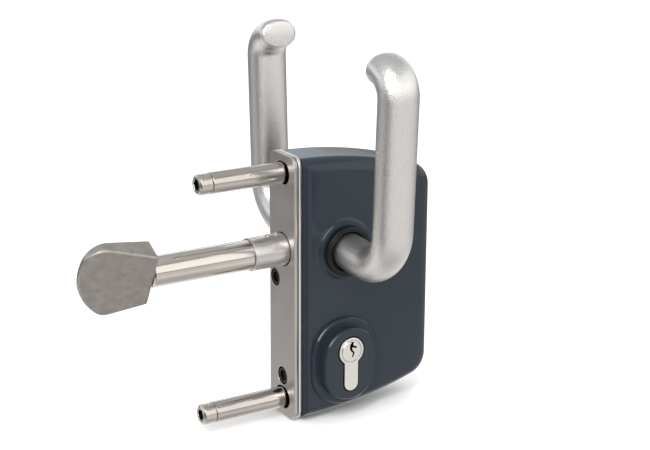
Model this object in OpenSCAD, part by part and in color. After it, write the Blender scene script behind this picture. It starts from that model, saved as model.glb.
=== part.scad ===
// Gate lock box with a turning bolt. The front is -Y, the gate post is on the -X side and +Z is up.
// The origin is the middle of the face plate's outer face.

/* [Box] */
// depth of the box from its front face to its back face
body_depth = 36; // [35:0.5:42]
// length of the box behind its edge plates
body_length = 85; // [78:1:105]
// height of the box where it meets the plates
body_height = 153; // [150:1:170]
// radius of the curved top and bottom of the box
arc_r = 250; // [220:5:400]
// rounding along the rims of the front and back faces
edge_r = 8; // [5:0.5:9]
// rounding of the two far corners
corner_r = 14; // [12:0.5:20]
// wall of the front and back faces
wall = 2.5; // [2:0.25:3]

/* [Plates] */
// thickness of each of the two edge plates
plate_t = 2.5; // [2:0.25:3]
// width of the edge plates
plate_w = 28; // [26:0.5:30]
// how far the plates stand past the box at the top and the bottom
plate_over = 1.25; // [0.5:0.25:3]
// rounding of the plate corners
plate_corner_r = 6; // [3:0.5:10]

/* [Axes] */
// distance from the inner plate's box side to the handle and cylinder axes
backset = 25; // [24:0.5:29]
// height of the key cylinder axis above the lower fixing pin
cylinder_rise = 31; // [30:0.5:35]
// height of the handle and bolt axes above the key cylinder axis
centres = 58.5; // [56:0.5:62]

/* [Handles] */
// width of the flat bar of a handle, along the gate
bar_w = 23.4; // [21:0.2:27]
// thickness of the flat bar of a handle, front to back
bar_t = 17.4; // [15:0.2:19]
// diameter of the round neck where a handle leaves its bush
neck_d = 20.8; // [19.6:0.2:23]
// distance from the middle of the box to the foot of the grip
grip_reach = 66.8; // [62:0.2:78]
// height of the top of the grip's centre line above the handle axis
grip_rise = 110; // [95:1:125]
// bend radius from the neck into the grip
bend_r = 24.5; // [16:0.5:30]
// bend radius at the end of the grip
tip_bend_r = 14; // [12:0.5:18]
// angle that the end of the grip turns back
tip_turn = 88; // [70:1:110]
// outward lean of the grip
grip_lean = 2.6; // [0:0.2:6]

/* [Bolt] */
// diameter of the bolt rod
rod_d = 17; // [15:0.5:18]
// length of the bolt rod between shaft and head
rod_len = 61; // [40:1:90]
// how far the turning shaft stands out of the plate
shaft_reach = 21.5; // [21:0.5:36]
// length of the bolt head
head_len = 42; // [40:1:52]
// width of the bolt head at the rod
head_base_w = 35.4; // [30:0.2:40]
// angle at which each side of the bolt head flares out
head_flare = 15.5; // [10:0.5:18]
// radius of the bolt head's round end
head_end_r = 42; // [36:1:60]
// height of the middle of that round end above the rod's axis
head_end_rise = 8; // [0:0.5:10]
// rounding of the two corners of the bolt head
head_corner_r = 4.5; // [3:0.5:7]
// thickness of the bolt head at the rod
head_t = 14; // [12:0.5:16]
// thickness of the bolt head at its tip
head_tip_t = 4; // [3:0.5:6]
// angle of the bolt head from upright
head_turn = 28; // [0:2:60]

/* [Fixings] */
// diameter of the fixing pins
pin_d = 12; // [11:0.5:12]
// how far the fixing pins and their end screws stand out of the plate
pin_len = 53; // [40:1:80]
// distance of a fixing pin from the top or bottom of the box
fixing_inset = 9.5; // [9:0.5:11]

/* [Hidden] */
$fn = 64;

// Clearances: turning pieces, pieces that pass by, and pieces that slip together
running = 0.06;
gap = 0.3;
slip = 0.05;

// Main planes of the box
half_d = body_depth / 2;
half_h = body_height / 2;
in_d = half_d - wall;
case_x = 2 * plate_t;
end_x = case_x + body_length;
axis_x = case_x + backset;
fixing_z = half_h - fixing_inset;
cyl_z = cylinder_rise - fixing_z;
axis_z = cyl_z + centres;
plate_h = body_height + 2 * plate_over;
lip_r = half_d - plate_w / 2;
end_wall = 6;
far_wall = 9;
mouth_half = plate_w / 2 - 2.5;
past = 1;

// Far corners: each corner circle touches the curved edge and the far face from inside
corner_x = end_x - corner_r;
corner_z = half_h - arc_r + sqrt(pow(arc_r - corner_r, 2) - pow(corner_x - case_x, 2));
corner_lean = asin((corner_x - case_x) / (arc_r - corner_r));
corner_cut = 60;
corner_step = 0.06;

// Raised bosses on the front and back faces
boss_rise = 2.5;
boss_y = half_d + boss_rise;
boss_r = 19.5;
boss_blend = 4;
tier_rise = 8.5;
tier_y = half_d + tier_rise;
tier_r = 17.2;
low_tier_r = 21.8;
tier_half = 4.3;
tier_rim = 0.8;

// Handle bushes and what turns in them
bush_r = 12;
bush_flange_r = 14.4;
bush_flange_t = 2;
bush_y = boss_y + bush_flange_t;
journal_r = 9;
washer_t = 0.6;
follower_y = in_d - washer_t - gap;
journal_y = in_d + 2.4;

// Square spindle and handle path
spindle_w = 8;
spindle_grip = 16.5;
spindle_y = boss_y + spindle_grip;
bar_r = bar_t / 2;
bar_drop = 1;
bend_turn = 90 - grip_lean;
bend_y = grip_reach - bend_r * sin(bend_turn);
bend_top = bend_r * (1 - cos(bend_turn)) - bar_drop;
grip_len = (grip_rise - bend_top - tip_bend_r * (1 + cos(bend_turn))) / sin(bend_turn);
tip_angle = bend_turn + tip_turn;
joint_lap = 0.4;
joint_step = 0.06;
dome_h = 3;
dome_r = (pow(bar_w / 2, 2) + pow(dome_h, 2)) / (2 * dome_h);
handle_grub_r = 2.5;
handle_grub_out = 9;
handle_grub_y = boss_y + handle_grub_out;
handle_grub_end = neck_d / 2 - 0.8;

// Bevel gears of equal size on crossing axes
teeth = 12;
pitch_r = 9.5;
face_w = 2.6;
tooth_tip_r = pitch_r + 0.8;
tooth_root_r = pitch_r - 1.5;
tooth_root_half = 9.4;
tooth_tip_half = 4.2;
gear_hub_r = tooth_root_r - 0.4;
follower_hub_r = pitch_r - face_w - gap;
wide_hub_r = 10;
wide_hub_y = 12;

// Locking disc and slide
disc_y = 11.2;
disc_r = 15;
notch_depth = 6.8;
slide_y = disc_y + 0.2;
slide_w = 6;
slide_top = axis_z - disc_r - 0.4;
cam_arm = 12.4;
cam_nose_r = 2.6;
cam_swing = 15;
slide_travel = 2 * cam_arm * sin(cam_swing);
leg_reach = 10.4;
leg_x = axis_x + leg_reach;
leg_w = 7.6;
bridge_rise = 12;
bridge_z = cyl_z + bridge_rise;
bridge_h = 8;
foot_drop = 9;
foot_z = cyl_z - foot_drop;
foot_h = 11.6;
foot_y = 4.6;
foot_slot_w = 7;
foot_slot_d = 5.6;
rib_t = 1.5;
rib_bottom = bridge_z + bridge_h + slide_travel + 1;
rib_top = slide_top - 3;

// Bolt shaft and its bearing
rod_r = rod_d / 2;
shaft_r = rod_r + 0.9;
shaft_hole_r = shaft_r + 0.4;
bearing_step = 0.6;
shaft_neck_r = shaft_r - bearing_step;
bearing_bore_r = shaft_neck_r + running;
bearing_r = shaft_r + 1.2;
bearing_flange_r = mouth_half - 0.1;
bearing_flange_t = 3;
bearing_reach = 8;
bearing_end = case_x + bearing_reach;
ring_t = 1.2;
ring_x = bearing_end + gap;
ring_groove_r = shaft_neck_r - 1;
ring_r = shaft_neck_r + 1.8;
ring_opening = 4;
shoulder_x = ring_x + ring_t + 0.5;
gear_x = axis_x - pitch_r;
gear_end = gear_x + face_w;
seat_r = 4.5;
seat_end = gear_end - 0.5;
gear_pin_r = 1.5;
gear_pin_x = (shoulder_x + gear_x) / 2;
stud_r = 6;
stud_len = 19.7;
stud_depth = 20;
shaft_grub_r = 2;
shaft_grub_xs = [-4.5, -9.5];
rod_chamfer = 1;
rod_end = -shaft_reach - rod_len;
head_stud_r = 4;
head_stud_len = 16;

// Bolt head outline: flared sides and a round end, with a rounded corner between them
head_half = head_base_w / 2;
head_end = [head_len - head_end_r, head_end_rise];
head_out = [-sin(head_flare), cos(head_flare)];
head_along = [cos(head_flare), sin(head_flare)];
corner_steps = 8;
end_steps = 36;

// Key cylinder of the common profile
cyl_r = 8.5;
cyl_stem_w = 10;
cyl_tall = 33;
cyl_half = tier_y + 0.5;
cyl_fit = 0.25;
cyl_low = cyl_tall - cyl_r - cyl_stem_w / 2;
cam_gap = 5.3;
cam_half = 5;
cam_r = 8.2;
cam_room = 9.6;
plug_r = 6.5;
plug_bore_r = plug_r + running;
plug_proud = 0.2;
plug_tongue_r = 3.5;
key_slot_w = 2.2;
key_slot_depth = 20;
tumbler_r = 1.4;
tumbler_count = 5;
tumbler_first = 8.5;
tumbler_pitch = 3.8;
driver_top = plug_bore_r + 0.1;
driver_len = 4.8;
spring_r = 1.2;
chamber_end = 21;
cyl_screw_drop = 18;
cyl_screw_z = cyl_z - cyl_screw_drop;
cyl_screw_r = 2.5;
cyl_screw_past = 6;
cyl_screw_end = axis_x + cyl_screw_past;

// Plate holes, screws and fixings
screw_head_r = 4.5;
screw_head_t = 2;
cyl_hole_r = 5.3;
plate_hole_r = 5.1;
plate_screw_r = 3;
plate_screw_inset = 6;
plate_screw_y = plate_w / 2 - plate_screw_inset;
plate_screw_drop = 18.9;
plate_screw_z = axis_z - plate_screw_drop;
plate_screw_len = 12;
post_len = 15;
post_half = 5.8;
pin_r = pin_d / 2;
pin_neck_r = pin_r - gap;
pin_hole_r = pin_r + gap;
pin_slot_len = pin_d + 4;
bolt_r = 4;
bolt_hole_r = bolt_r + 0.4;
bolt_slot_len = 2 * bolt_hole_r + 4;
end_screw_len = 8;
end_screw_r = pin_r - 0.2;
end_stub_len = 6;
pin_end = end_screw_len - pin_len;
bolt_grip = 11;
bolt_tip = plate_t - bolt_grip;
thread_room = 0.5;
hex_r = 3.5;
hex_depth = 4;
lug_t = 6;
lug_reach = 9;
lug_x = case_x + lug_t;
washer_r = 7;
fixing_washer_t = 1.6;
bolt_head_r = 6.5;
bolt_head_t = 7;
bolt_head_x = lug_x + fixing_washer_t;
bolt_head_end = bolt_head_x + bolt_head_t;

// Solid round bar along X or Y
module along_x(x0, x1, r) {
    translate([x0, 0, 0]) rotate([0, 90, 0]) cylinder(h = x1 - x0, r = r);
}

module along_y(y0, y1, r) {
    translate([0, y1, 0]) rotate([90, 0, 0]) cylinder(h = y1 - y0, r = r);
}

// Round end along Y that narrows from r0 at y0 to r1 at y1
module taper_y(y0, y1, r0, r1) {
    translate([0, y1, 0]) rotate([90, 0, 0]) cylinder(h = y1 - y0, r1 = r1, r2 = r0);
}

// Places for pieces on the handle axis, the bolt axis and the cylinder axis
module at_handle() {
    translate([axis_x, 0, axis_z]) children();
}

module at_bolt() {
    translate([0, 0, axis_z]) children();
}

module at_cylinder() {
    translate([axis_x, 0, cyl_z]) children();
}

// The same piece at the front and at the back, or at the top and at the bottom
module both_sides() {
    children();
    mirror([0, 1, 0]) children();
}

module both_ends() {
    for (side = [-1, 1]) translate([0, 0, side * fixing_z]) children();
}

// Outline drawn across Y and Z, made solid along X
module plate_solid(x0, x1) {
    translate([x0, 0, 0]) rotate([90, 0, 90]) linear_extrude(x1 - x0) children();
}

module slot_outline(length, r) {
    square([length - 2 * r, 2 * r], center = true);
    for (side = [-1, 1]) translate([side * (length / 2 - r), 0]) circle(r);
}

module plate_outline() {
    square([plate_w, plate_h - 2 * plate_corner_r], center = true);
    square([plate_w - 2 * plate_corner_r, plate_h], center = true);
    for (y = [-1, 1], z = [-1, 1])
        translate([y * (plate_w / 2 - plate_corner_r), z * (plate_h / 2 - plate_corner_r)])
            circle(plate_corner_r);
}

module plate_blank(x0) {
    plate_solid(x0, x0 + plate_t) plate_outline();
}

// Hexagon socket cut into the end of a screw that points along X
module hex_socket(x0, x1) {
    translate([x0, 0, 0]) rotate([0, 90, 0]) cylinder(h = x1 - x0, r = hex_r, $fn = 6);
}

// Thick disc with a rounded rim, as a section and as a solid round a Y axis
module rim_section(r) {
    translate([0, -half_d]) square([r - edge_r, body_depth]);
    translate([0, edge_r - half_d]) square([r, body_depth - 2 * edge_r]);
    for (side = [-1, 1]) intersection() {
        translate([r - edge_r, side * (half_d - edge_r)]) circle(edge_r);
        translate([0, -half_d]) square([r, body_depth]);
    }
}

module rim_disc(x, z, r) {
    translate([x, 0, z]) rotate([90, 0, 0]) rotate_extrude($fn = 180) rim_section(r);
}

module box_outline() {
    translate([case_x + lip_r, -half_d]) square([body_length - lip_r - edge_r, body_depth]);
    translate([case_x, -plate_w / 2]) square([body_length / 2, plate_w]);
    translate([corner_x, edge_r - half_d]) square([corner_r, body_depth - 2 * edge_r]);
    for (side = [-1, 1]) {
        translate([case_x + lip_r, side * (half_d - lip_r)]) circle(lip_r);
        translate([end_x - edge_r, side * (half_d - edge_r)]) circle(edge_r);
    }
}

module corner_wedge() {
    far = [corner_x + corner_cut * sin(corner_lean), corner_z + corner_cut * cos(corner_lean)];
    right = end_x + corner_cut;
    translate([0, half_d + past, 0]) rotate([90, 0, 0]) linear_extrude(body_depth + 2 * past)
        polygon([[corner_x, corner_z], [right, corner_z], [right, far[1]], far]);
}

module box_solid() {
    difference() {
        intersection() {
            rim_disc(case_x, half_h - arc_r, arc_r);
            rim_disc(case_x, arc_r - half_h, arc_r);
            translate([0, 0, -half_h]) linear_extrude(body_height) box_outline();
        }
        corner_wedge();
        mirror([0, 0, 1]) corner_wedge();
    }
    for (side = [-1, 1]) rim_disc(corner_x, side * corner_z, corner_r - corner_step);
}

// Oval step round the key cylinder, with a bevelled rim at the front and the back
module tier(r, y_end) {
    y_side = y_end - tier_rim;
    r_face = r - tier_rim;
    translate([axis_x, 0, cyl_z + cyl_r - cyl_tall / 2]) {
        for (side = [-1, 1]) translate([0, 0, side * tier_half]) {
            along_y(-y_side, y_side, r);
            taper_y(y_side, y_end, r, r_face);
            taper_y(-y_end, -y_side, r_face, r);
        }
        translate([0, 0, -tier_half]) linear_extrude(2 * tier_half)
            polygon([[r, -y_side], [r, y_side], [r_face, y_end], [-r_face, y_end],
                [-r, y_side], [-r, -y_side], [-r_face, -y_end], [r_face, -y_end]]);
    }
}

// Round boss that swells out of the face round the handle bush
module handle_boss() {
    at_handle() rotate([90, 0, 0]) rotate_extrude() difference() {
        translate([0, -boss_y]) square([boss_r, 2 * boss_y]);
        for (side = [-1, 1]) translate([boss_r, side * (half_d + boss_blend)]) circle(boss_blend);
    }
}

module cavity() {
    intersection() {
        translate([case_x, 0, half_h - arc_r]) along_y(-in_d, in_d, arc_r - end_wall);
        translate([case_x, 0, arc_r - half_h]) along_y(-in_d, in_d, arc_r - end_wall);
        translate([case_x + lip_r + 0.5, -in_d, -half_h])
            cube([body_length - lip_r - 0.5 - far_wall, 2 * in_d, body_height]);
    }
    translate([case_x - past, -mouth_half, end_wall - half_h])
        cube([lip_r + 2 * past, 2 * mouth_half, body_height - 2 * end_wall]);
}

// Post inside the box for the plate screw, joined to the back wall
module screw_post() {
    inner_x = case_x + lip_r + 0.5;
    translate([case_x, plate_screw_y - 5, plate_screw_z - post_half])
        cube([post_len, plate_w / 2 - 1 - plate_screw_y + 5, 2 * post_half]);
    translate([inner_x, plate_screw_y - 5, plate_screw_z - post_half])
        cube([case_x + post_len - inner_x, in_d + 0.5 - plate_screw_y + 5, 2 * post_half]);
}

// Two ribs on the back wall that guide the locking slide
module slide_ribs() {
    rib_offset = slide_w / 2 + gap;
    for (x = [axis_x - rib_offset - rib_t, axis_x + rib_offset])
        translate([x, slide_y, rib_bottom]) cube([rib_t, in_d + 0.5 - slide_y, rib_top - rib_bottom]);
}

// Thick ends of the box that the fixing bolts pull against
module lugs() {
    lug_bottom = fixing_z - lug_reach;
    for (side = [0, 1]) mirror([0, 0, side]) translate([case_x, 1 - plate_w / 2, lug_bottom])
        cube([lug_t, plate_w - 2, half_h - end_wall + past - lug_bottom]);
}

// Key cylinder outline, grown all round by the given amount
module cylinder_outline(grow) {
    circle(cyl_r + grow);
    translate([-cyl_stem_w / 2 - grow, -cyl_low]) square([cyl_stem_w + 2 * grow, cyl_low]);
    translate([0, -cyl_low]) circle(cyl_stem_w / 2 + grow);
}

module cylinder_solid(grow, y_half) {
    at_cylinder() translate([0, y_half, 0]) rotate([90, 0, 0]) linear_extrude(2 * y_half)
        cylinder_outline(grow);
}

module housing() {
    color([0.20, 0.23, 0.26]) difference() {
        union() {
            difference() {
                union() {
                    box_solid();
                    handle_boss();
                    tier(low_tier_r, boss_y);
                    tier(tier_r, tier_y);
                }
                cavity();
            }
            screw_post();
            slide_ribs();
            lugs();
        }
        at_handle() along_y(-boss_y - past, boss_y + past, bush_r);
        cylinder_solid(cyl_fit, tier_y + past);
        both_ends() {
            plate_solid(case_x - past, lug_x + past) slot_outline(bolt_slot_len, bolt_hole_r);
            along_x(lug_x, bolt_head_end + gap, washer_r + gap);
        }
        translate([0, plate_screw_y, plate_screw_z])
            along_x(case_x - past, case_x + plate_screw_len, plate_screw_r);
    }
}

module face_plate() {
    color([0.62, 0.60, 0.57]) difference() {
        plate_blank(0);
        at_bolt() along_x(-past, plate_t + past, shaft_hole_r);
        both_ends() plate_solid(-past, plate_t + past) slot_outline(pin_slot_len, pin_hole_r);
        translate([0, 0, cyl_screw_z]) along_x(-past, plate_t + past, cyl_hole_r);
        translate([0, plate_screw_y, plate_screw_z]) along_x(-past, plate_t + past, plate_hole_r);
    }
}

module back_plate() {
    color([0.66, 0.65, 0.62]) difference() {
        plate_blank(plate_t);
        at_bolt() along_x(plate_t - past, case_x + past, bearing_r);
        both_ends() plate_solid(plate_t - past, case_x + past) slot_outline(bolt_slot_len, bolt_hole_r);
        translate([0, 0, cyl_screw_z]) along_x(plate_t - past, case_x + past, cyl_screw_r + slip);
        translate([0, plate_screw_y, plate_screw_z])
            along_x(plate_t - past, case_x + past, plate_screw_r + slip);
    }
}

module handle_bushes() {
    rim = 0.7;
    color([0.04, 0.04, 0.05]) at_handle() both_sides() difference() {
        union() {
            along_y(-boss_y, -in_d, bush_r);
            along_y(rim - bush_y, -boss_y, bush_flange_r);
            taper_y(-bush_y, rim - bush_y, bush_flange_r - rim, bush_flange_r);
        }
        along_y(-bush_y - past, past - in_d, journal_r + running);
    }
}

module thrust_washers() {
    color([0.72, 0.55, 0.30]) at_handle() both_sides() difference() {
        along_y(-in_d, washer_t - in_d, bush_r);
        along_y(-in_d - past, past - in_d, journal_r + gap);
    }
}

module shaft_bearing() {
    color([0.70, 0.52, 0.28]) at_bolt() difference() {
        union() {
            along_x(plate_t, bearing_end, bearing_r);
            along_x(case_x, case_x + bearing_flange_t, bearing_flange_r);
        }
        along_x(plate_t - past, bearing_end + past, bearing_bore_r);
    }
}

// Flat bar with round sides, drawn across, and smaller all round by the given amount
module bar_outline(less) {
    flat = bar_w - bar_t;
    square([flat, bar_t - 2 * less], center = true);
    for (side = [-1, 1]) translate([side * flat / 2, 0]) circle(bar_r - less);
}

// Quarter bend of the flat bar in the YZ plane, from the angle it starts at
module bar_bend(r, start, turn) {
    rotate([180, 90, 0]) rotate([0, 0, start]) rotate_extrude(angle = turn)
        translate([r, 0]) rotate([0, 0, 90]) bar_outline(0);
}

// Front handle on its own axis: neck, bend, grip, turned-back end and domed tip
module handle_bar() {
    neck_start = -bush_y - gap;
    slice = 0.5;
    foot = [0, -grip_reach, bend_top];
    top = foot + grip_len * [0, -cos(bend_turn), sin(bend_turn)];
    tip_mid = top + tip_bend_r * [0, sin(bend_turn), cos(bend_turn)];
    tip = tip_mid + tip_bend_r * [0, -sin(tip_angle), -cos(tip_angle)];
    hull() {
        along_y(neck_start - slice, neck_start, neck_d / 2);
        translate([0, slice - bend_y - joint_lap, -bar_drop]) rotate([90, 0, 0])
            linear_extrude(slice) bar_outline(joint_step);
    }
    translate([0, -bend_y, bend_r - bar_drop]) bar_bend(bend_r, 0, bend_turn);
    translate(foot) rotate([grip_lean, 0, 0]) translate([0, 0, -joint_lap])
        linear_extrude(grip_len + 2 * joint_lap) bar_outline(joint_step);
    translate(tip_mid) bar_bend(tip_bend_r, bend_turn, tip_turn);
    translate(tip) rotate([90 - tip_angle, 0, 0]) intersection() {
        translate([0, 0, -joint_lap]) linear_extrude(dome_h + joint_lap) bar_outline(joint_step);
        translate([0, 0, dome_h - dome_r]) sphere(dome_r);
    }
}

module handle_solid() {
    difference() {
        union() {
            handle_bar();
            along_y(-bush_y - gap, -journal_y - gap, journal_r);
        }
        translate([-spindle_w / 2 - slip, -spindle_y - gap, -spindle_w / 2 - slip])
            cube([spindle_w + 2 * slip, spindle_y, spindle_w + 2 * slip]);
        translate([0, -handle_grub_y, -neck_d]) cylinder(h = neck_d, r = handle_grub_r);
    }
}

module handle_front() {
    color([0.74, 0.72, 0.69]) at_handle() handle_solid();
}

module handle_rear() {
    color([0.74, 0.72, 0.69]) at_handle() mirror([0, 1, 0]) handle_solid();
}

module handle_grub_screws() {
    color([0.30, 0.30, 0.31]) at_handle() both_sides() translate([0, -handle_grub_y, -handle_grub_end])
        cylinder(h = handle_grub_end - spindle_w / 2, r = handle_grub_r);
}

module spindle() {
    color([0.55, 0.55, 0.56]) at_handle() translate([-spindle_w / 2, -spindle_y, -spindle_w / 2])
        cube([spindle_w, 2 * spindle_y, spindle_w]);
}

module spindle_hole(y0, y1) {
    w = spindle_w + 2 * slip;
    translate([-w / 2, y0, -w / 2]) cube([w, y1 - y0, w]);
}

// Gear teeth across the large end, drawn in towards the crossing of the axes
module gear_teeth(phase) {
    step = 360 / teeth;
    points = [for (i = [0 : teeth - 1], corner = [[tooth_root_r, -tooth_root_half],
        [tooth_tip_r, -tooth_tip_half], [tooth_tip_r, tooth_tip_half], [tooth_root_r, tooth_root_half]])
        corner[0] * [cos(i * step + phase + corner[1]), sin(i * step + phase + corner[1])]];
    linear_extrude(face_w, scale = 1 - face_w / pitch_r) polygon(points);
}

module follower() {
    color([0.58, 0.56, 0.52]) at_handle() difference() {
        union() {
            along_y(-journal_y, -follower_y, journal_r);
            along_y(-follower_y, -wide_hub_y, wide_hub_r);
            along_y(-wide_hub_y, -pitch_r, gear_hub_r);
            translate([0, -pitch_r, 0]) rotate([-90, 0, 0]) gear_teeth(180 / teeth);
            along_y(-pitch_r, disc_y, follower_hub_r - 0.4);
        }
        spindle_hole(-journal_y - past, disc_y + past);
    }
}

module locking_disc() {
    notch_w = slide_w + 2 * gap;
    notch_r = disc_r - notch_depth;
    color([0.60, 0.60, 0.62]) at_handle() difference() {
        union() {
            along_y(disc_y, follower_y, disc_r);
            along_y(follower_y, journal_y, journal_r);
        }
        spindle_hole(disc_y - past, journal_y + past);
        for (turn = [0, -90]) rotate([0, turn, 0])
            translate([-notch_w / 2, disc_y - past, -disc_r - past])
                cube([notch_w, follower_y - disc_y + 2 * past, disc_r + past - notch_r]);
    }
}

module bolt_shaft() {
    color([0.60, 0.58, 0.55]) at_bolt() difference() {
        union() {
            along_x(-shaft_reach, plate_t - gap, shaft_r);
            along_x(plate_t - gap, shoulder_x, shaft_neck_r);
            along_x(shoulder_x, seat_end, seat_r);
        }
        difference() {
            along_x(ring_x, ring_x + ring_t, shaft_r);
            along_x(ring_x, ring_x + ring_t, ring_groove_r);
        }
        along_x(-shaft_reach - past, stud_depth - shaft_reach, stud_r);
        for (x = shaft_grub_xs) translate([x, 0, 0]) cylinder(h = shaft_r + past, r = shaft_grub_r);
        translate([gear_pin_x, 0, -shaft_r]) cylinder(h = 2 * shaft_r, r = gear_pin_r);
    }
}

module bolt_gear() {
    color([0.58, 0.56, 0.52]) at_bolt() difference() {
        union() {
            along_x(shoulder_x, gear_x, gear_hub_r);
            translate([gear_x, 0, 0]) rotate([90, 0, 90]) gear_teeth(0);
        }
        along_x(shoulder_x - past, gear_end + past, seat_r);
        translate([gear_pin_x, 0, -shaft_r]) cylinder(h = 2 * shaft_r, r = gear_pin_r);
    }
}

module gear_pin() {
    pin_half = gear_hub_r - 0.4;
    color([0.45, 0.45, 0.46]) at_bolt() translate([gear_pin_x, 0, -pin_half])
        cylinder(h = 2 * pin_half, r = gear_pin_r);
}

module retaining_ring() {
    color([0.25, 0.25, 0.26]) at_bolt() difference() {
        along_x(ring_x, ring_x + ring_t, ring_r);
        along_x(ring_x - past, ring_x + ring_t + past, ring_groove_r);
        translate([ring_x - past, -ring_opening / 2, -ring_r - past])
            cube([ring_t + 2 * past, ring_opening, ring_r + past]);
    }
}

module shaft_grub_screws() {
    color([0.50, 0.49, 0.47]) at_bolt() for (x = shaft_grub_xs) translate([x, 0, stud_r])
        cylinder(h = shaft_r - stud_r + 0.4, r = shaft_grub_r);
}

module bolt_rod() {
    color([0.78, 0.75, 0.70]) at_bolt() {
        along_x(rod_end + rod_chamfer, -shaft_reach, rod_r);
        translate([rod_end, 0, 0]) rotate([0, 90, 0])
            cylinder(h = rod_chamfer, r1 = rod_r - rod_chamfer, r2 = rod_r);
        along_x(-shaft_reach, stud_len - shaft_reach, stud_r);
        along_x(rod_end - head_stud_len, rod_end, head_stud_r);
    }
}

// Corner of the bolt head above or below the rod: its middle, measured from the middle of the round end
function head_corner(side) =
    let (
        out = [head_out[0], side * head_out[1]],
        along = [head_along[0], side * head_along[1]],
        start = [0, side * head_half] - head_corner_r * out - head_end,
        lead = start * along,
        run = sqrt(lead * lead - start * start + pow(head_end_r - head_corner_r, 2)) - lead
    )
    start + run * along;

// Points along an arc from one angle to another
function arc_points(mid, r, from, to, first, last, steps) =
    [for (i = [first : last]) let (a = from + (to - from) * i / steps) mid + r * [cos(a), sin(a)]];

module head_outline() {
    upper = head_corner(1);
    lower = head_corner(-1);
    top = atan2(upper[1], upper[0]);
    bottom = atan2(lower[1], lower[0]);
    side = 90 + head_flare;
    polygon(concat([[0, head_half]],
        arc_points(head_end + upper, head_corner_r, side, top, 0, corner_steps, corner_steps),
        arc_points(head_end, head_end_r, top, bottom, 1, end_steps - 1, end_steps),
        arc_points(head_end + lower, head_corner_r, bottom, -side, 0, corner_steps, corner_steps),
        [[0, -head_half]]));
}

module bolt_head() {
    high = head_half + head_len;
    color([0.44, 0.42, 0.40]) at_bolt() translate([rod_end, 0, 0]) difference() {
        rotate([head_turn, 0, 0]) intersection() {
            translate([0, head_t / 2, 0]) mirror([1, 0, 0]) rotate([90, 0, 0]) linear_extrude(head_t)
                head_outline();
            translate([0, 0, -high]) linear_extrude(2 * high)
                polygon([[0, head_t / 2], [-head_len, head_tip_t / 2], [-head_len, -head_tip_t / 2],
                    [0, -head_t / 2]]);
        }
        along_x(-head_stud_len, past, head_stud_r);
    }
}

module locking_slide() {
    thick = follower_y - slide_y;
    color([0.64, 0.64, 0.65]) difference() {
        union() {
            translate([axis_x - slide_w / 2, slide_y, bridge_z])
                cube([slide_w, thick, slide_top - bridge_z]);
            translate([axis_x - slide_w / 2, slide_y, bridge_z])
                cube([leg_x + leg_w - axis_x + slide_w / 2, thick, bridge_h]);
            translate([leg_x, slide_y, foot_z]) cube([leg_w, thick, bridge_z + bridge_h - foot_z]);
            translate([leg_x, -foot_y, foot_z]) cube([leg_w, slide_y + thick + foot_y, foot_h]);
        }
        translate([leg_x - past, -foot_y - past, cyl_z - cam_arm * sin(cam_swing) - foot_slot_w / 2])
            cube([foot_slot_d + past, follower_y + foot_y + 2 * past, foot_slot_w]);
    }
}

// Row of tumbler places on both sides of the cam
module each_tumbler() {
    for (side = [-1, 1], i = [0 : tumbler_count - 1])
        translate([0, side * (tumbler_first + i * tumbler_pitch), 0]) children();
}

module cylinder_body() {
    color([0.72, 0.70, 0.66]) difference() {
        cylinder_solid(0, cyl_half);
        at_cylinder() {
            along_y(-cyl_half - past, cyl_half + past, plug_bore_r);
            translate([-cyl_r - past, -cam_gap, -cam_room])
                cube([2 * (cyl_r + past), 2 * cam_gap, cam_room + cyl_r + past]);
            each_tumbler() translate([0, 0, -chamber_end])
                cylinder(h = chamber_end, r = tumbler_r + slip);
        }
        translate([0, 0, cyl_screw_z]) along_x(axis_x - cyl_r, axis_x + cyl_r, cyl_screw_r);
    }
}

// Stepped key slot, as the profile of a flat key
module key_slot() {
    steps = [[-1.5, 1.4, 3.6], [-0.7, -1.6, 3.4], [-1.3, -4.8, 3.6]];
    for (s = steps) translate([s[0], -cyl_half - past, s[1]])
        cube([key_slot_w, key_slot_depth + past, s[2]]);
}

module plug_solid() {
    difference() {
        union() {
            along_y(-cyl_half - plug_proud, -cam_gap, plug_r);
            along_y(-cam_gap, -gap / 2, plug_tongue_r);
        }
        key_slot();
        for (i = [0 : tumbler_count - 1]) translate([0, -tumbler_first - i * tumbler_pitch, -plug_r - past])
            cylinder(h = plug_r + past - 3, r = tumbler_r);
    }
}

module plug_front() {
    color([0.76, 0.74, 0.69]) at_cylinder() plug_solid();
}

module plug_rear() {
    color([0.76, 0.74, 0.69]) at_cylinder() mirror([0, 1, 0]) plug_solid();
}

module cylinder_cam() {
    color([0.62, 0.60, 0.56]) at_cylinder() difference() {
        translate([0, cam_half, 0]) rotate([90, 0, 0]) linear_extrude(2 * cam_half)
            rotate([0, 0, -cam_swing]) {
                circle(cam_r);
                translate([0, -cam_nose_r]) square([cam_arm, 2 * cam_nose_r]);
                translate([cam_arm, 0]) circle(cam_nose_r);
            }
        along_y(-cam_half - past, cam_half + past, plug_tongue_r);
    }
}

module key_pins() {
    color([0.78, 0.62, 0.32]) at_cylinder() each_tumbler() translate([0, 0, -plug_r + 0.15])
        cylinder(h = plug_r - 3.15, r = tumbler_r);
}

module driver_pins() {
    color([0.78, 0.62, 0.32]) at_cylinder() each_tumbler() translate([0, 0, -driver_top - driver_len])
        cylinder(h = driver_len, r = tumbler_r);
}

module pin_springs() {
    spring_top = -driver_top - driver_len;
    color([0.60, 0.60, 0.60]) at_cylinder() each_tumbler() translate([0, 0, -chamber_end])
        cylinder(h = spring_top + chamber_end, r = spring_r);
}

// Flat-headed screw along X with its head in the face plate
module sunk_screw(r, x_end) {
    difference() {
        union() {
            along_x(plate_t - screw_head_t, plate_t, screw_head_r);
            along_x(plate_t, x_end, r);
        }
        hex_socket(plate_t - screw_head_t - past, plate_t - 0.5);
    }
}

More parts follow.
